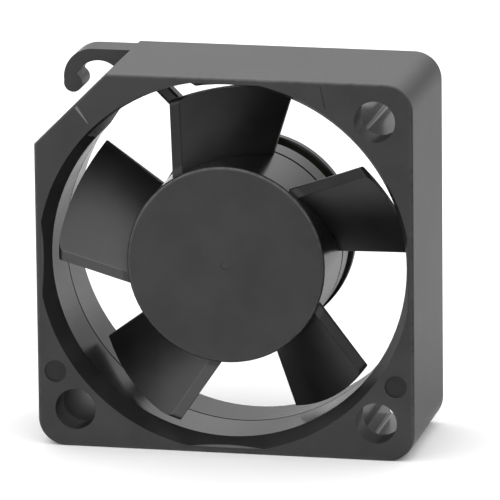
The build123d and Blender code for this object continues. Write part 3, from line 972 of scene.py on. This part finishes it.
class FAN_OT_windings(bpy.types.Operator):
    """Winds the four coils turn by turn"""
    bl_idname = "fan.windings"
    bl_label = "Windings"

    def execute(self, context):
        wire = lacquered_wire("lacquered_wire", context.scene.fan_finish.copper_colour)
        low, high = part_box("coil_1")
        for index in range(POLE_COUNT):
            name = f"winding_{index + 1}"
            mesh = winding_mesh(name, Vector(low), Vector(high), context.scene.fan_winding)
            mesh.transform(Matrix.Rotation(-index * math.tau / POLE_COUNT, 4, "Y"))
            made = piece(name, mesh, "housing", wire)
            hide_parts(f"coil_{index + 1}")
        return {"FINISHED"}


class FAN_OT_board(bpy.types.Operator):
    """Finishes the board and its components, and solders the pins"""
    bl_idname = "fan.board"
    bl_label = "Board"

    def execute(self, context):
        settings = context.scene.fan_finish
        dress(solder_mask("solder_mask", settings.board_colour), "circuit_board")
        dress(chip_body("chip_epoxy"), "hall_sensor", "driver_chip")
        dress(end_capped("ceramic_block", CERAMIC, math.pi / 2), "capacitor")
        dress(end_capped("film_block", FILM, -math.pi / 4), "resistor")
        solder = turned_metal("solder", SOLDER, roughness=0.24, pitch=0.15)
        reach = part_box("terminal_pins")[HIGH][X] - context.scene.fan_solder.pin
        for index in range(PIN_COUNT):
            angle = (index + 0.5) * math.tau / PIN_COUNT
            right = math.copysign(reach, math.cos(angle))
            up = math.copysign(reach, math.sin(angle))
            spot = Vector((right, BOARD_FRONT * MM, up))
            name = f"solder_{index + 1}"
            mesh = solder_mesh(name, spot, context.scene.fan_solder)
            piece(name, mesh, "housing", solder)
        return {"FINISHED"}


class FAN_OT_studio(bpy.types.Operator):
    """Sets the pale floor, the white surround and the camera"""
    bl_idname = "fan.studio"
    bl_label = "Studio"

    def execute(self, context):
        settings = context.scene.fan_studio
        scene = context.scene
        scene.view_settings.view_transform = "Standard"
        scene.world = soft_surround("soft_surround", settings)

        ground = bmesh.new()
        bmesh.ops.create_grid(
            ground, x_segments=FLOOR_CELLS, y_segments=FLOOR_CELLS, size=settings.floor_width / 2
        )
        bmesh.ops.translate(ground, vec=(0.0, 0.0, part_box("frame")[LOW][Z]), verts=ground.verts)
        mesh = bpy.data.meshes.new("floor")
        ground.to_mesh(mesh)
        ground.free()
        floor = bpy.data.objects.new("floor", mesh)
        scene.collection.objects.link(floor)
        mesh.materials.append(pale_floor("pale_floor", settings))

        lens = bpy.data.cameras.new("camera")
        lens.sensor_width = SENSOR_WIDTH
        lens.lens = settings.lens
        lens.clip_start = CLIP_START
        lens.clip_end = CLIP_END
        camera = bpy.data.objects.new("camera", lens)
        scene.collection.objects.link(camera)
        turn = Matrix.Rotation(settings.camera_turn, 4, "Z")
        dip = Matrix.Rotation(math.pi / 2 - settings.camera_dip, 4, "X")
        roll = Matrix.Rotation(settings.camera_roll, 4, "Z")
        camera.matrix_world = Matrix.Translation(settings.camera_place) @ turn @ dip @ roll
        scene.camera = camera
        return {"FINISHED"}


class FAN_PT_sidebar(bpy.types.Panel):
    """Sizes, colours and steps of the fan"""
    bl_label = "Axial fan"
    bl_idname = "FAN_PT_sidebar"
    bl_space_type = "VIEW_3D"
    bl_region_type = "UI"
    bl_category = "Fan"

    def draw(self, context):
        layout = self.layout
        scene = context.scene
        for group in (scene.fan_finish, scene.fan_winding, scene.fan_solder, scene.fan_studio):
            box = layout.box()
            for name in group.bl_rna.properties.keys():
                if name not in ("rna_type", "name"):
                    box.prop(group, name)
        for operator in OPERATORS:
            layout.operator(operator.bl_idname)


OPERATORS = (
    FAN_OT_housing,
    FAN_OT_impeller,
    FAN_OT_rotor,
    FAN_OT_stator,
    FAN_OT_windings,
    FAN_OT_board,
    FAN_OT_studio,
)
GROUPS = (FinishSettings, WindingSettings, SolderSettings, StudioSettings)


def register():
    for group in GROUPS:
        bpy.utils.register_class(group)
    bpy.types.Scene.fan_finish = PointerProperty(type=FinishSettings)
    bpy.types.Scene.fan_winding = PointerProperty(type=WindingSettings)
    bpy.types.Scene.fan_solder = PointerProperty(type=SolderSettings)
    bpy.types.Scene.fan_studio = PointerProperty(type=StudioSettings)
    for operator in OPERATORS:
        bpy.utils.register_class(operator)
    bpy.utils.register_class(FAN_PT_sidebar)


def unregister():
    bpy.utils.unregister_class(FAN_PT_sidebar)
    for operator in reversed(OPERATORS):
        bpy.utils.unregister_class(operator)
    del bpy.types.Scene.fan_studio
    del bpy.types.Scene.fan_solder
    del bpy.types.Scene.fan_winding
    del bpy.types.Scene.fan_finish
    for group in reversed(GROUPS):
        bpy.utils.unregister_class(group)


def main():
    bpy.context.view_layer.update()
    register()
    bpy.ops.fan.housing()
    bpy.ops.fan.impeller()
    bpy.ops.fan.rotor()
    bpy.ops.fan.stator()
    bpy.ops.fan.windings()
    bpy.ops.fan.board()
    bpy.ops.fan.studio()


if __name__ == "__main__":
    main()
